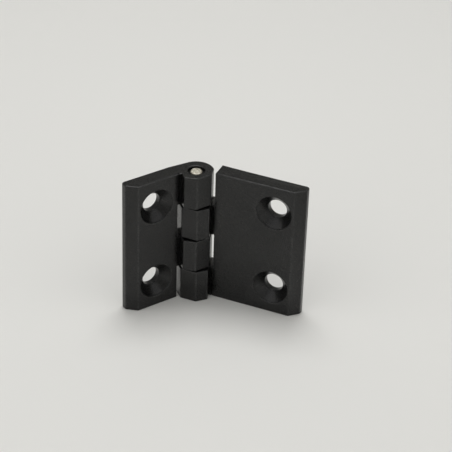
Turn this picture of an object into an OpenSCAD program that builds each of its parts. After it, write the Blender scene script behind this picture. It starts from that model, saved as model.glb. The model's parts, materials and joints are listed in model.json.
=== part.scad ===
// Butt hinge with two unequal leaves, four interleaved knuckles and a plain pin.
// Each leaf is drawn about the pin axis, its outer edge towards +X and its countersunk face
// towards +Y, and is then turned into place.
// The origin is the middle of the long leaf's back face.

/* [Leaves] */
// Height of the hinge along the pin
hinge_h = 50; // [44:1:70]
// Pin axis to the outer edge of the short leaf
short_len = 25.6; // [24:0.1:34]
// Pin axis to the outer edge of the long leaf
long_len = 38.4; // [36:0.1:50]
// Thickness of each leaf
leaf_t = 5.85; // [5.2:0.05:6.2]
// How far each front face lies behind the pin axis
front_drop = 0.95; // [0.6:0.05:1.2]
// Angle between the two front faces
open_angle = 122; // [30:1:180]
// Width of the bevel on each outer edge, across the front face
bevel_w = 3.35; // [2:0.05:4]
// Depth of that bevel on the side face
bevel_d = 3.15; // [2:0.05:3.6]
// Radius of the outer back corner
outer_r = 1.2; // [0.5:0.1:2]

/* [Knuckles] */
// Diameter of the round back of each knuckle
knuckle_d = 12.2; // [11.6:0.1:12.6]
// Pin axis to the facet that is parallel to the leaf
front_facet = 4.95; // [4.7:0.05:5.5]
// Pin axis to the two slanted facets
side_facet = 5.55; // [5.2:0.05:5.7]
// Pin axis to the end of the slanted facet on the leaf's side
facet_end = 6; // [5.8:0.05:6]
// Gap between neighbouring knuckles, along the pin
knuckle_gap = 0.5; // [0.3:0.05:0.8]
// Pin axis to the inner end of each leaf
leaf_end = 6.5; // [6.5:0.05:7.2]
// Radius of the corners at a leaf's inner end
inner_r = 0.3; // [0.2:0.1:0.8]
// Width of the relief groove at a leaf's inner end, beside its own knuckle
groove_w = 0.35; // [0.3:0.05:0.5]
// Depth of the relief groove
groove_d = 0.75; // [0.4:0.05:1]
// How far the wall beside the ledge leans in under the slanted facet
wall_lean = 0.8; // [0.1:0.1:1]

/* [Pin] */
// Diameter of the pin
pin_d = 4; // [3:0.1:4.5]
// Running clearance between the pin and the short leaf's bore, on the radius
pin_play = 0.05; // [0.02:0.01:0.1]
// Interference between the pin and the long leaf's bore, on the radius
pin_press = 0.015; // [0.005:0.005:0.02]
// How far each end of the pin lies below the end face
pin_recess = 0.1; // [0:0.05:0.5]
// Chamfer on the ends of the pin
pin_chamfer = 0.3; // [0.1:0.1:0.6]
// Diameter of the counterbore round each end of the pin
counterbore_d = 6; // [5.2:0.1:6.5]
// Depth of the counterbore
counterbore_depth = 1.2; // [0.6:0.1:2]

/* [Screw holes] */
// Pin axis to the holes of the short leaf
short_hole = 15; // [14:0.25:17]
// Pin axis to the holes of the long leaf
long_hole = 28; // [26:0.25:29]
// Distance between the two holes of a leaf
hole_pitch = 30; // [26:1:32]
// Diameter of the plain hole
hole_d = 6.6; // [5.5:0.1:7]
// Diameter of the countersink at the front face
sink_d = 12.5; // [11:0.1:13]
// Depth of the straight lip above the countersink's cone
sink_lip = 0.5; // [0.3:0.1:1.2]

/* [Hidden] */
$fn = 96;

black = [0.05, 0.05, 0.052];
steel = [0.78, 0.77, 0.74];

knuckle_count = 4;
knuckle_pitch = hinge_h / knuckle_count;
knuckle_r = knuckle_d / 2;
back = front_drop + leaf_t;
past = 1;

// The level at which the slanted facet ends, and the foot of the wall below it
facet_end_y = side_facet * sqrt(2) - facet_end;
wall_foot = facet_end - wall_lean;

// The line from the leaf's back face that just cuts into the round back of the knuckle
web_bite = 0.02;
web_r = knuckle_r - web_bite;
web_end = leaf_end + inner_r;
web_reach = norm([web_end, back]);
touch_angle = -atan2(back, web_end) - acos(web_r / web_reach);

// Places a leaf that was drawn about the pin axis into the hinge's own frame
module on_pin() {
    translate([-long_hole, -back, 0]) children();
}

// Removes a square corner of the given size and puts a round one in its place
module round_off(x, y, r, turn) {
    translate([x, y]) rotate(turn) difference() {
        translate([-r, -r]) square(r + past);
        translate([-r, -r]) circle(r);
    }
}

// Plan of a leaf: x runs outwards from the pin and y runs forwards
module leaf_plan(length) {
    difference() {
        polygon([
            [leaf_end, -back],
            [length, -back],
            [length, -front_drop - bevel_d],
            [length - bevel_w, -front_drop],
            [leaf_end, -front_drop]
        ]);
        round_off(length, -back, outer_r, -90);
        round_off(leaf_end, -front_drop, inner_r, 90);
        round_off(leaf_end, -back, inner_r, 180);
    }
}

// Everything behind a flat facet that faces the given way, at a distance from the pin axis
module behind_facet(facing, distance) {
    rotate(facing) translate([-2 * knuckle_r, -2 * knuckle_r])
        square([2 * knuckle_r + distance, 4 * knuckle_r]);
}

// Plan of a knuckle: round at the back, with three flat facets at the front
module knuckle_plan() {
    intersection() {
        circle(knuckle_r);
        behind_facet(90, front_facet);
        behind_facet(45, side_facet);
        behind_facet(135, side_facet);
    }
}

// Plan of the web that joins a knuckle to its own leaf
module web_plan() {
    polygon([
        [web_r * cos(touch_angle), web_r * sin(touch_angle)],
        [web_end, -back],
        [web_end + past, -back],
        [web_end + past, -front_drop],
        [wall_foot, -front_drop],
        [facet_end, facet_end_y],
        [0, facet_end_y]
    ]);
}

// Plan of the space between a knuckle and its own leaf: the leaning wall, the ledge and the groove
module relief_plan() {
    polygon([
        [wall_foot, -front_drop],
        [facet_end, facet_end_y],
        [knuckle_d, facet_end_y],
        [knuckle_d, -front_drop]
    ]);
    translate([leaf_end - groove_w, -front_drop - groove_d]) square([groove_w, groove_d + past]);
    round_off(leaf_end, -front_drop, inner_r, 90);
}

// A knuckle with its web; level 0 is the lowest
module knuckle(level) {
    low = level == 0 ? 0 : knuckle_gap / 2;
    high = level == knuckle_count - 1 ? 0 : knuckle_gap / 2;
    translate([0, 0, level * knuckle_pitch - hinge_h / 2 + low])
        linear_extrude(knuckle_pitch - low - high) difference() {
            union() {
                knuckle_plan();
                web_plan();
            }
            relief_plan();
        }
}

// A plain hole with a straight-lipped 90 degree countersink, cut from the front face backwards
module screw_hole() {
    cone_depth = (sink_d - hole_d) / 2;
    rotate([90, 0, 0]) {
        cylinder(h = leaf_t + past, d = hole_d);
        translate([0, 0, -past]) cylinder(h = sink_lip + past, d = sink_d);
        translate([0, 0, sink_lip]) cylinder(h = cone_depth, d1 = sink_d, d2 = hole_d);
    }
}

// A whole leaf, drawn about the pin axis with its front face towards +Y
module leaf(length, hole_at, levels, bore_r, open_end) {
    difference() {
        union() {
            translate([0, 0, -hinge_h / 2]) linear_extrude(hinge_h) leaf_plan(length);
            for (level = levels) knuckle(level);
        }
        translate([0, 0, -hinge_h / 2 - past]) cylinder(h = hinge_h + 2 * past, r = bore_r);
        translate([0, 0, open_end * (hinge_h / 2 + past / 2 - counterbore_depth / 2)])
            cylinder(h = counterbore_depth + past, d = counterbore_d, center = true);
        for (side = [-1, 1]) translate([hole_at, -front_drop, side * hole_pitch / 2]) screw_hole();
    }
}

module long_leaf() {
    color(black) on_pin() mirror([0, 1, 0])
        leaf(long_len, long_hole, [0, 2], pin_d / 2 - pin_press, -1);
}

module short_leaf() {
    color(black) on_pin() rotate([0, 0, 180 - open_angle]) rotate([0, 0, 180])
        leaf(short_len, short_hole, [1, 3], pin_d / 2 + pin_play, 1);
}

module hinge_pin() {
    pin_r = pin_d / 2;
    half = hinge_h / 2 - pin_recess;
    color(steel) on_pin() rotate_extrude() polygon([
        [0, -half],
        [pin_r - pin_chamfer, -half],
        [pin_r, -half + pin_chamfer],
        [pin_r, half - pin_chamfer],
        [pin_r - pin_chamfer, half],
        [0, half]
    ]);
}

long_leaf();
short_leaf();
hinge_pin();
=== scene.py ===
"""The looks of a powder-coated hinge: two cast leaves, a turned steel pin and a pale studio."""

import json
import math

import bmesh
import bpy
from mathutils import Matrix, Vector


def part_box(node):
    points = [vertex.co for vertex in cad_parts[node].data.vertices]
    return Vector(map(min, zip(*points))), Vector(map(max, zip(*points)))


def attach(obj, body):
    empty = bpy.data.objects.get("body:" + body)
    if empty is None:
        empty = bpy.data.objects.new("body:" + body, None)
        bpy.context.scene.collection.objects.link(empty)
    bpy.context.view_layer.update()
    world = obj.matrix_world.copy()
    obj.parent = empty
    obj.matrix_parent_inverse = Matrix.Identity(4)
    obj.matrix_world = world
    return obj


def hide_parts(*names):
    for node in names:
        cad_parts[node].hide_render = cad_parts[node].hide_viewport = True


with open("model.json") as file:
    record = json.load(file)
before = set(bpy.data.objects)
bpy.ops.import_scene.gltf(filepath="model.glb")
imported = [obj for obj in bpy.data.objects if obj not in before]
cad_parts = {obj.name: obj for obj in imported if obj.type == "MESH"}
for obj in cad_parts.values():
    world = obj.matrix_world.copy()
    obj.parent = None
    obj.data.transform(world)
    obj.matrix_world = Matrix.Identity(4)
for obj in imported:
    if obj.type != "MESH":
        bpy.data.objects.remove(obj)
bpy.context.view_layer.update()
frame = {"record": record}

MM = 0.001

# Sizes that the frame holds
record = frame["record"]
mounts = {mount["name"]: mount for mount in record["mounts"]}
PIN_AXIS = Vector(record["behaviour"]["joints"][0]["pos_m"])
HALF_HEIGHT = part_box("long_leaf")[1].z
LONG_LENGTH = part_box("long_leaf")[1].x - PIN_AXIS.x
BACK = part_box("long_leaf")[1].y - PIN_AXIS.y
HOLE_RADIUS = mounts["long_leaf_upper_hole"]["dims"]["r_mm"] * MM
HOLE_LEVEL = mounts["long_leaf_upper_hole"]["pos_m"][2]
LONG_HOLE = mounts["long_leaf_back"]["pos_m"][0] - PIN_AXIS.x
PIN_RADIUS = (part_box("hinge_pin")[1].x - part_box("hinge_pin")[0].x) / 2
PIN_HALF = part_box("hinge_pin")[1].z

# Sizes of the casting's details, about the pin axis
FRONT_DROP = 0.95 * MM
SHORT_LENGTH = 25.6 * MM
BEVEL_WIDTH = 3.35 * MM
BEVEL_DEPTH = 3.15 * MM
OUTER_RADIUS = 1.2 * MM
INNER_RADIUS = 0.3 * MM
KNUCKLE_RADIUS = 6.1 * MM
FRONT_FACET = 4.95 * MM
SIDE_FACET = 5.55 * MM
FACET_END = 6.0 * MM
KNUCKLE_GAP = 0.5 * MM
LEAF_END = 6.5 * MM
GROOVE_WIDTH = 0.35 * MM
GROOVE_DEPTH = 0.75 * MM
GROOVE_CLEAR = 0.02 * MM
WALL_LEAN = 0.8 * MM
SINK_RADIUS = 6.25 * MM
SINK_LIP = 0.5 * MM
COUNTERBORE_RADIUS = 3.0 * MM
COUNTERBORE_DEPTH = 1.2 * MM
LONG_BORE = PIN_RADIUS - 0.015 * MM
SHORT_BORE = PIN_RADIUS + 0.05 * MM
EDGE_RADIUS = 0.35 * MM
KNUCKLES = 4
PITCH = 2 * HALF_HEIGHT / KNUCKLES
PAST = 1 * MM
TINY = 0.01 * MM

# The face attribute, and the passing material index, that mark the rounded edges of a casting
ROUNDED = "rounded_edge"
ROUNDED_INDEX = 1


# ---------------------------------------------------------------- outlines

def rounded(corners, step=math.radians(12)):
    """Points of an outline whose corners (x, y, radius) are rounded by arcs."""
    points = []
    count = len(corners)
    for i in range(count):
        before = Vector(corners[i - 1][:2])
        here = Vector(corners[i][:2])
        after = Vector(corners[(i + 1) % count][:2])
        radius = corners[i][2]
        if radius == 0:
            points.append(here)
            continue
        to_before = (before - here).normalized()
        to_after = (after - here).normalized()
        half = to_before.angle(to_after) / 2
        centre = here + (to_before + to_after).normalized() * (radius / math.sin(half))
        start = here + to_before * (radius / math.tan(half)) - centre
        end = here + to_after * (radius / math.tan(half)) - centre
        turn = start.angle_signed(end)
        pieces = max(2, math.ceil(abs(turn) / step))
        for k in range(pieces + 1):
            points.append(centre + Matrix.Rotation(-turn * k / pieces, 2) @ start)
    return points


def arc(radius, start, end, step=math.radians(5)):
    """Points on a circle about the pin axis, from one angle to another."""
    pieces = math.ceil(abs(end - start) / step)
    angles = [start + (end - start) * k / pieces for k in range(pieces + 1)]
    return [Vector((radius * math.cos(a), radius * math.sin(a))) for a in angles]


def plate_chain(length):
    """The outline that both kinds of level share: along the front, round the outer edge, to the back."""
    corners = [
        (LEAF_END, -FRONT_DROP, 0),
        (length - BEVEL_WIDTH, -FRONT_DROP, 0),
        (length, -FRONT_DROP - BEVEL_DEPTH, 0),
        (length, -BACK, OUTER_RADIUS),
        (LEAF_END + INNER_RADIUS, -BACK, 0),
    ]
    return rounded(corners)


def plate_end():
    """The rest of the outline at the levels of the other leaf's knuckles."""
    return [Vector((LEAF_END, -BACK + INNER_RADIUS))]


def knuckle_end():
    """The rest of the outline at the leaf's own knuckles: tangent, round back, three facets and wall."""
    web_end = LEAF_END + INNER_RADIUS
    touch = -math.atan2(BACK, web_end) - math.acos(KNUCKLE_RADIUS / math.hypot(web_end, BACK))
    facet_start = -math.pi - math.radians(45) + math.acos(SIDE_FACET / KNUCKLE_RADIUS)
    facet_top = SIDE_FACET * math.sqrt(2) - FRONT_FACET
    return arc(KNUCKLE_RADIUS, touch, facet_start) + [
        Vector((-facet_top, FRONT_FACET)),
        Vector((facet_top, FRONT_FACET)),
        Vector((FACET_END, SIDE_FACET * math.sqrt(2) - FACET_END)),
        Vector((FACET_END - WALL_LEAN, -FRONT_DROP)),
    ]


# ---------------------------------------------------------------- solids

def lathe(profile, segments=96):
    """A closed mesh turned about Z from a profile of (radius, height) whose ends lie on the axis."""
    mesh = bmesh.new()
    rings = []
    for radius, height in profile:
        if radius == 0:
            rings.append([mesh.verts.new((0, 0, height))])
            continue
        angles = [2 * math.pi * k / segments for k in range(segments)]
        rings.append([mesh.verts.new((radius * math.cos(a), radius * math.sin(a), height)) for a in angles])
    for low, high in zip(rings, rings[1:]):
        for k in range(segments):
            j = (k + 1) % segments
            corners = [low[k % len(low)], low[j % len(low)], high[j % len(high)], high[k % len(high)]]
            mesh.faces.new(list(dict.fromkeys(corners)))
    bmesh.ops.recalc_face_normals(mesh, faces=mesh.faces)
    return mesh


def leaf_solid(length, own_levels):
    """The leaf as one closed mesh: full-height plate walls, and a knuckle or none at each level."""
    mesh = bmesh.new()
    shared = plate_chain(length)
    ends = {True: knuckle_end(), False: plate_end()}
    cuts = [-HALF_HEIGHT]
    for level in range(1, KNUCKLES):
        upwards = 1 if level in own_levels else -1
        cuts.append(-HALF_HEIGHT + level * PITCH + upwards * KNUCKLE_GAP / 2)
    cuts.append(HALF_HEIGHT)
    shared_rings = {z: [mesh.verts.new((*p, z)) for p in shared] for z in (cuts[0], cuts[-1])}
    first = [shared_rings[cuts[0]][0]]
    last = [shared_rings[cuts[0]][-1]]
    for z in cuts[1:-1]:
        first.append(mesh.verts.new((*shared[0], z)))
        last.append(mesh.verts.new((*shared[-1], z)))
    first.append(shared_rings[cuts[-1]][0])
    last.append(shared_rings[cuts[-1]][-1])
    for i in range(len(shared) - 1):
        left = first if i == 0 else [shared_rings[cuts[0]][i], shared_rings[cuts[-1]][i]]
        right = [shared_rings[cuts[0]][i + 1], shared_rings[cuts[-1]][i + 1]]
        if i == len(shared) - 2:
            right = last
        mesh.faces.new(list(left) + list(reversed(right)))
    end_rings = {}
    for level in range(KNUCKLES):
        own = level in own_levels
        for k in (level, level + 1):
            inner = [mesh.verts.new((*p, cuts[k])) for p in ends[own]]
            end_rings[(level, k)] = [last[k]] + inner + [first[k]]
        low = end_rings[(level, level)]
        high = end_rings[(level, level + 1)]
        for i in range(len(low) - 1):
            mesh.faces.new([low[i], low[i + 1], high[i + 1], high[i]])
    for k in range(1, KNUCKLES):
        loop = end_rings[(k - 1, k)] + list(reversed(end_rings[(k, k)][1:-1]))
        mesh.faces.new(loop)
    mesh.faces.new(shared_rings[cuts[0]] + end_rings[(0, 0)][1:-1])
    mesh.faces.new(shared_rings[cuts[-1]] + end_rings[(KNUCKLES - 1, KNUCKLES)][1:-1])
    bmesh.ops.recalc_face_normals(mesh, faces=mesh.faces)
    return mesh


def screw_hole_solid():
    """What a screw hole takes away, about Z, from the back forwards: hole, 90 degree cone and lip."""
    cone = SINK_RADIUS - HOLE_RADIUS
    return lathe([
        (0, -BACK - PAST),
        (HOLE_RADIUS, -BACK - PAST),
        (HOLE_RADIUS, -FRONT_DROP - SINK_LIP - cone),
        (SINK_RADIUS, -FRONT_DROP - SINK_LIP),
        (SINK_RADIUS, -FRONT_DROP + PAST),
        (0, -FRONT_DROP + PAST),
    ])


def bore_solid(radius, open_end):
    """What the pin's bore takes away, about Z, with the counterbore at the open end."""
    top = HALF_HEIGHT + PAST
    shoulder = HALF_HEIGHT - COUNTERBORE_DEPTH
    profile = [(0, -top), (radius, -top), (radius, shoulder)]
    profile += [(COUNTERBORE_RADIUS, shoulder), (COUNTERBORE_RADIUS, top), (0, top)]
    if open_end < 0:
        profile = [(r, -z) for r, z in reversed(profile)]
    return lathe(profile)


def groove_solid(level):
    """What the relief groove beside one knuckle takes away, reaching past both ends of the knuckle."""
    mesh = bmesh.new()
    low = -HALF_HEIGHT + level * PITCH - KNUCKLE_GAP
    high = low + PITCH + 2 * KNUCKLE_GAP
    outline = [
        (LEAF_END - GROOVE_WIDTH, -FRONT_DROP - GROOVE_DEPTH),
        (LEAF_END - GROOVE_CLEAR, -FRONT_DROP - GROOVE_DEPTH),
        (LEAF_END - GROOVE_CLEAR, -FRONT_DROP + PAST),
        (LEAF_END - GROOVE_WIDTH, -FRONT_DROP + PAST),
    ]
    rings = [[mesh.verts.new((*p, z)) for p in outline] for z in (low, high)]
    mesh.faces.new(rings[0])
    mesh.faces.new(rings[1])
    for k in range(len(outline)):
        mesh.faces.new([rings[0][k - 1], rings[0][k], rings[1][k], rings[1][k - 1]])
    bmesh.ops.recalc_face_normals(mesh, faces=mesh.faces)
    return mesh


# ---------------------------------------------------------------- objects

def to_object(name, mesh, place=Matrix.Identity(4)):
    """Puts a bmesh in the scene as an object, its vertices in the row frame."""
    data = bpy.data.meshes.new(name)
    mesh.to_mesh(data)
    mesh.free()
    data.transform(place)
    if place.determinant() < 0:
        data.flip_normals()
    obj = bpy.data.objects.new(name, data)
    bpy.context.scene.collection.objects.link(obj)
    return obj


def apply_modifiers(obj):
    """Turns the object's modifiers into its mesh."""
    bpy.context.view_layer.update()
    evaluated = obj.evaluated_get(bpy.context.evaluated_depsgraph_get())
    data = bpy.data.meshes.new_from_object(evaluated)
    obj.modifiers.clear()
    old = obj.data
    obj.data = data
    bpy.data.meshes.remove(old)


def take_away(obj, tools):
    """Subtracts each tool from the object and removes the tool."""
    for tool in tools:
        cut = obj.modifiers.new("cut", "BOOLEAN")
        cut.operation = "DIFFERENCE"
        cut.solver = "EXACT"
        cut.object = tool
    apply_modifiers(obj)
    for tool in tools:
        bpy.data.objects.remove(tool)


def at_back_corner(point):
    """Whether a point, in a leaf's own axes, lies on the chamfer at the back of its inner end."""
    return point.x < LEAF_END + INNER_RADIUS + TINY and point.y < -BACK + INNER_RADIUS + TINY


def round_edges(obj, sharp=math.radians(32), segments=3):
    """Rounds every sharp outer edge, as a cast and coated part has them; the inner corners stay crisp."""
    mesh = bmesh.new()
    mesh.from_mesh(obj.data)
    weight = mesh.edges.layers.float.new("bevel_weight_edge")
    for edge in mesh.edges:
        if edge.is_convex and edge.calc_face_angle() > sharp:
            edge[weight] = 0.0 if all(at_back_corner(vertex.co) for vertex in edge.verts) else 1.0
    mesh.to_mesh(obj.data)
    mesh.free()
    soft = obj.modifiers.new("soft_edges", "BEVEL")
    soft.width = EDGE_RADIUS
    soft.segments = segments
    soft.limit_method = "WEIGHT"
    soft.use_clamp_overlap = False
    soft.material = ROUNDED_INDEX
    for _ in range(ROUNDED_INDEX + 1):
        obj.data.materials.append(None)
    apply_modifiers(obj)
    rounded_faces = obj.data.attributes.new(ROUNDED, "FLOAT", "FACE")
    for polygon, mark in zip(obj.data.polygons, rounded_faces.data):
        mark.value = float(polygon.material_index)
        polygon.material_index = 0
    for vertex in obj.data.vertices:
        vertex.co.y = max(vertex.co.y, -BACK)


def shade(obj, sharp=math.radians(35)):
    """Smooth shading with flat faces kept flat and sharp edges kept sharp."""
    for polygon in obj.data.polygons:
        polygon.use_smooth = True
    obj.data.set_sharp_from_angle(angle=sharp)
    normals = obj.modifiers.new("flat_faces", "WEIGHTED_NORMAL")
    normals.keep_sharp = True
    apply_modifiers(obj)


def leaf_piece(name, length, hole_at, own_levels, bore, open_end, place):
    """A whole cast leaf. It is built about the pin axis, x outwards, y forwards, and then put in place."""
    leaf = to_object(name, leaf_solid(length, own_levels))
    tools = [to_object("bore", bore_solid(bore, open_end))]
    forwards = Matrix.Rotation(-math.pi / 2, 4, "X")
    for level in (-HOLE_LEVEL, HOLE_LEVEL):
        hole_place = Matrix.Translation((hole_at, 0, level)) @ forwards
        tools.append(to_object("hole", screw_hole_solid(), hole_place))
    take_away(leaf, tools)
    round_edges(leaf)
    take_away(leaf, [to_object("groove", groove_solid(level)) for level in own_levels])
    shade(leaf)
    leaf.data.transform(place)
    if place.determinant() < 0:
        leaf.data.flip_normals()
    return leaf


def pin_piece(name):
    """The turned pin, with a small chamfer and a slightly domed face at each end."""
    chamfer = 0.3 * MM
    dome = 0.04 * MM
    half = [
        (0, PIN_HALF),
        (0.5 * PIN_RADIUS, PIN_HALF - dome / 4),
        (PIN_RADIUS - chamfer, PIN_HALF - dome),
        (PIN_RADIUS, PIN_HALF - dome - chamfer),
    ]
    profile = half + [(r, -z) for r, z in reversed(half)]
    pin = to_object(name, lathe(profile), Matrix.Translation(PIN_AXIS))
    for polygon in pin.data.polygons:
        polygon.use_smooth = True
    pin.data.set_sharp_from_angle(angle=math.radians(30))
    return pin


# ---------------------------------------------------------------- materials

def new_material(name):
    """A node material with its shader, and a position input that stays with the object."""
    material = bpy.data.materials.new(name)
    material.use_nodes = True
    tree = material.node_tree
    tree.nodes.clear()
    output = tree.nodes.new("ShaderNodeOutputMaterial")
    shader = tree.nodes.new("ShaderNodeBsdfPrincipled")
    tree.links.new(shader.outputs["BSDF"], output.inputs["Surface"])
    place = tree.nodes.new("ShaderNodeTexCoord").outputs["Object"]
    return material, tree, shader, place


def noise(tree, place, scale, detail=3.0, roughness=0.5):
    node = tree.nodes.new("ShaderNodeTexNoise")
    node.inputs["Scale"].default_value = scale
    node.inputs["Detail"].default_value = detail
    node.inputs["Roughness"].default_value = roughness
    tree.links.new(place, node.inputs["Vector"])
    return node.outputs["Fac"]


def ramp(tree, value, low, high, low_to, high_to):
    node = tree.nodes.new("ShaderNodeMapRange")
    node.inputs["From Min"].default_value = low
    node.inputs["From Max"].default_value = high
    node.inputs["To Min"].default_value = low_to
    node.inputs["To Max"].default_value = high_to
    tree.links.new(value, node.inputs["Value"])
    return node.outputs["Result"]


def bump(tree, shader, height, distance, strength):
    node = tree.nodes.new("ShaderNodeBump")
    node.inputs["Distance"].default_value = distance
    node.inputs["Strength"].default_value = strength
    tree.links.new(height, node.inputs["Height"])
    tree.links.new(node.outputs["Normal"], shader.inputs["Normal"])


def blend(tree, factor, first, second):
    """A colour mixed by a factor; each of the two is a fixed colour or another node's output."""
    node = tree.nodes.new("ShaderNodeMix")
    node.data_type = "RGBA"
    tree.links.new(factor, node.inputs["Factor"])
    for socket, colour in ((node.inputs["A"], first), (node.inputs["B"], second)):
        if isinstance(colour, tuple):
            socket.default_value = (*colour, 1)
        else:
            tree.links.new(colour, socket)
    return node.outputs["Result"]


def painted_edge_highlight(tree, place):
    """1 on the rounded edges and 0 on all other faces, in uneven stretches: the mask of a painted highlight.
    """
    edges = tree.nodes.new("ShaderNodeAttribute")
    edges.attribute_name = ROUNDED
    stretches = ramp(tree, noise(tree, place, 400, 3.0), 0.35, 0.6, 0.3, 1)
    product = tree.nodes.new("ShaderNodeMath")
    product.operation = "MULTIPLY"
    tree.links.new(edges.outputs["Fac"], product.inputs[0])
    tree.links.new(stretches, product.inputs[1])
    return product.outputs["Value"]


def powder_coat():
    """Fine-textured black powder coat, with a painted highlight: a lighter colour along its rounded edges."""
    material, tree, shader, place = new_material("powder_coat")
    shader.inputs["IOR"].default_value = 1.46
    grain = noise(tree, place, 3500, 2.0)
    cloud = noise(tree, place, 120, 3.0)
    colour = blend(tree, ramp(tree, cloud, 0.3, 0.7, 0, 1), (0.003, 0.003, 0.003), (0.005, 0.005, 0.005))
    # Painted highlight: the rounded edges, in uneven stretches, take a lighter colour
    colour = blend(tree, painted_edge_highlight(tree, place), colour, (0.022, 0.022, 0.022))
    tree.links.new(colour, shader.inputs["Base Color"])
    tree.links.new(ramp(tree, grain, 0.3, 0.7, 0.24, 0.34), shader.inputs["Roughness"])
    bump(tree, shader, grain, 0.02 * MM, 0.6)
    return material


def pin_steel():
    """Bright drawn steel, its end faces slightly mottled."""
    material, tree, shader, place = new_material("pin_steel")
    shader.inputs["Metallic"].default_value = 1.0
    mottle = noise(tree, place, 1500, 3.0)
    colour = blend(tree, ramp(tree, mottle, 0.3, 0.6, 0, 1), (0.5, 0.46, 0.37), (0.95, 0.91, 0.79))
    tree.links.new(colour, shader.inputs["Base Color"])
    tree.links.new(ramp(tree, mottle, 0.3, 0.7, 0.3, 0.5), shader.inputs["Roughness"])
    bump(tree, shader, mottle, 0.02 * MM, 0.4)
    return material


# ---------------------------------------------------------------- the hinge

def leaf_place(back_mount, mirrored):
    """From a leaf's own axes, x outwards and y forwards about the pin, to the row frame."""
    forwards = -Vector(back_mount["axis"])
    outwards = Vector((-forwards.y, forwards.x, 0)) if mirrored else Vector((forwards.y, -forwards.x, 0))
    place = Matrix.Identity(4)
    place.col[0][:3] = outwards
    place.col[1][:3] = forwards
    return Matrix.Translation(PIN_AXIS) @ place


long_place = leaf_place(mounts["long_leaf_back"], True)
short_place = leaf_place(mounts["short_leaf_back"], False)
short_hole = (short_place.inverted() @ Vector(mounts["short_leaf_back"]["pos_m"])).x

long_casting = leaf_piece("long_leaf_casting", LONG_LENGTH, LONG_HOLE, (0, 2), LONG_BORE, -1, long_place)
short_casting = leaf_piece("short_leaf_casting", SHORT_LENGTH, short_hole, (1, 3), SHORT_BORE, 1, short_place)
turned_pin = pin_piece("turned_pin")

coat = powder_coat()
steel = pin_steel()
for piece, material, node, body, slot in (
    (long_casting, coat, "long_leaf", "long_leaf", "leaf_coating"),
    (short_casting, coat, "short_leaf", "short_leaf", "leaf_coating"),
    (turned_pin, steel, "hinge_pin", "long_leaf", "pin_steel"),
):
    piece.data.materials.clear()
    piece.data.materials.append(material)
    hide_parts(node)
    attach(piece, body)


# ---------------------------------------------------------------- studio

def studio_material(name, colour):
    material, tree, shader, place = new_material(name)
    shader.inputs["Base Color"].default_value = colour
    shader.inputs["Roughness"].default_value = 0.9
    return material


def cove(segments=96, turn_steps=12):
    """A round floor that turns up into a wall all round."""
    middle_radius = 0.3
    floor_radius = 0.9
    turn_radius = 0.6
    wall_top = 1.6
    profile = [(middle_radius, 0), (floor_radius, 0)]
    for k in range(1, turn_steps + 1):
        a = math.radians(90) * k / turn_steps
        profile.append((floor_radius + turn_radius * math.sin(a), turn_radius * (1 - math.cos(a))))
    profile.append((floor_radius + turn_radius, wall_top))
    mesh = bmesh.new()
    rings = []
    for radius, height in profile:
        ring = []
        for k in range(segments):
            a = 2 * math.pi * k / segments
            ring.append(mesh.verts.new((radius * math.cos(a), radius * math.sin(a), height - HALF_HEIGHT)))
        rings.append(ring)
    mesh.faces.new(rings[0])
    for low, high in zip(rings, rings[1:]):
        for k in range(segments):
            mesh.faces.new([low[k], high[k], high[(k + 1) % segments], low[(k + 1) % segments]])
    obj = to_object("studio_floor", mesh)
    for polygon in obj.data.polygons:
        polygon.use_smooth = True
    return obj


def direction(azimuth, elevation):
    """A unit vector: azimuth 0 points at -Y, 90 at +X; elevation is above the horizon. Both in degrees."""
    a = math.radians(azimuth)
    e = math.radians(elevation)
    return Vector((math.sin(a) * math.cos(e), -math.cos(a) * math.cos(e), math.sin(e)))


def softbox(name, azimuth, elevation, distance, size, power):
    """A square area light in a direction from the pin, aimed at it."""
    data = bpy.data.lights.new(name, "AREA")
    data.shape = "RECTANGLE"
    data.size = size[0]
    data.size_y = size[1]
    data.energy = power
    obj = bpy.data.objects.new(name, data)
    bpy.context.scene.collection.objects.link(obj)
    outwards = direction(azimuth, elevation)
    obj.location = PIN_AXIS + outwards * distance
    obj.rotation_mode = "QUATERNION"
    obj.rotation_quaternion = outwards.to_track_quat("Z", "Y")
    return obj


floor = cove()
floor.data.materials.append(studio_material("pale_floor", (0.8, 0.795, 0.768, 1)))

CAMERA_AZIMUTH = 22.4
softbox("left_light", CAMERA_AZIMUTH - 53, 37, 0.8, (1.0, 1.0), 1.9)
softbox("right_light", CAMERA_AZIMUTH + 60, 37, 0.8, (1.0, 1.0), 1.5)
softbox("back_light", CAMERA_AZIMUTH + 180, 76, 0.8, (0.35, 0.35), 2.8)

world = bpy.data.worlds.new("studio_air")
world.use_nodes = True
world.node_tree.nodes["Background"].inputs["Color"].default_value = (1, 1, 1, 1)
world.node_tree.nodes["Background"].inputs["Strength"].default_value = 0.33
bpy.context.scene.world = world
bpy.context.scene.view_settings.view_transform = "Standard"


# ---------------------------------------------------------------- camera

def studio_camera():
    """The camera: it looks down at the hinge from the front, a little from the long leaf's side."""
    elevation = 32.9
    roll = math.radians(1.9)
    distance = 0.6142
    aim_right = 0.0106
    aim_up = 0.0023
    back = direction(CAMERA_AZIMUTH, elevation)
    right = direction(CAMERA_AZIMUTH + 90, 0)
    up = back.cross(right)
    tilted_right = right * math.cos(roll) + up * math.sin(roll)
    tilted_up = up * math.cos(roll) - right * math.sin(roll)
    aim = PIN_AXIS + tilted_right * aim_right + tilted_up * aim_up
    data = bpy.data.cameras.new("studio_camera")
    data.sensor_width = 36
    data.lens = 142.8
    camera = bpy.data.objects.new("studio_camera", data)
    bpy.context.scene.collection.objects.link(camera)
    turn = Matrix((tilted_right, tilted_up, back)).transposed()
    camera.matrix_world = Matrix.Translation(aim + back * distance) @ turn.to_4x4()
    bpy.context.scene.camera = camera


studio_camera()
